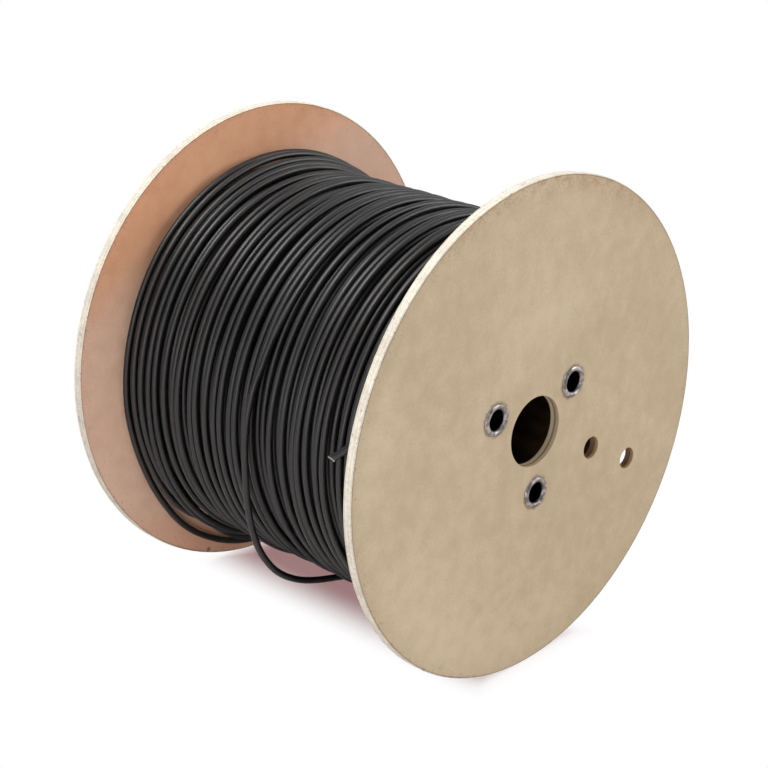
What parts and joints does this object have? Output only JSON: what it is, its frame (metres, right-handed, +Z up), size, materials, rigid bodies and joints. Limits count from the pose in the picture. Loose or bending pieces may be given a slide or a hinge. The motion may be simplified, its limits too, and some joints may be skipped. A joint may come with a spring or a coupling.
{
  "type": "cable reel",
  "caption": "Plywood cable reel lying on its rims, wound full of black single-core solar cable, with a spindle bore, a drive hole, rolled steel tie tubes and a loose cable end.",
  "frame": {"origin": "on the floor under the middle of the reel, which lies on the rims of its two flanges", "axes": "+X along the reel's axis towards the front flange with the drive hole, +Z up"},
  "size_m": [0.314, 0.4, 0.3999],
  "materials": {
    "plywood": "raw sanded plywood",
    "barrel_board": "raw fibreboard",
    "tie_steel": "plain zinc plated steel",
    "cable_jacket": "satin black polymer jacket"
  },
  "bodies": {
    "root": {"front_flange": "plywood", "rear_flange": "plywood", "barrel": "barrel_board", "tie_tube_1": "tie_steel", "tie_tube_2": "tie_steel", "tie_tube_3": "tie_steel", "cable_winding": "cable_jacket", "loose_loop": "cable_jacket", "sagging_turn": "cable_jacket", "cable_tail": "cable_jacket"}
  },
  "joints": []
}
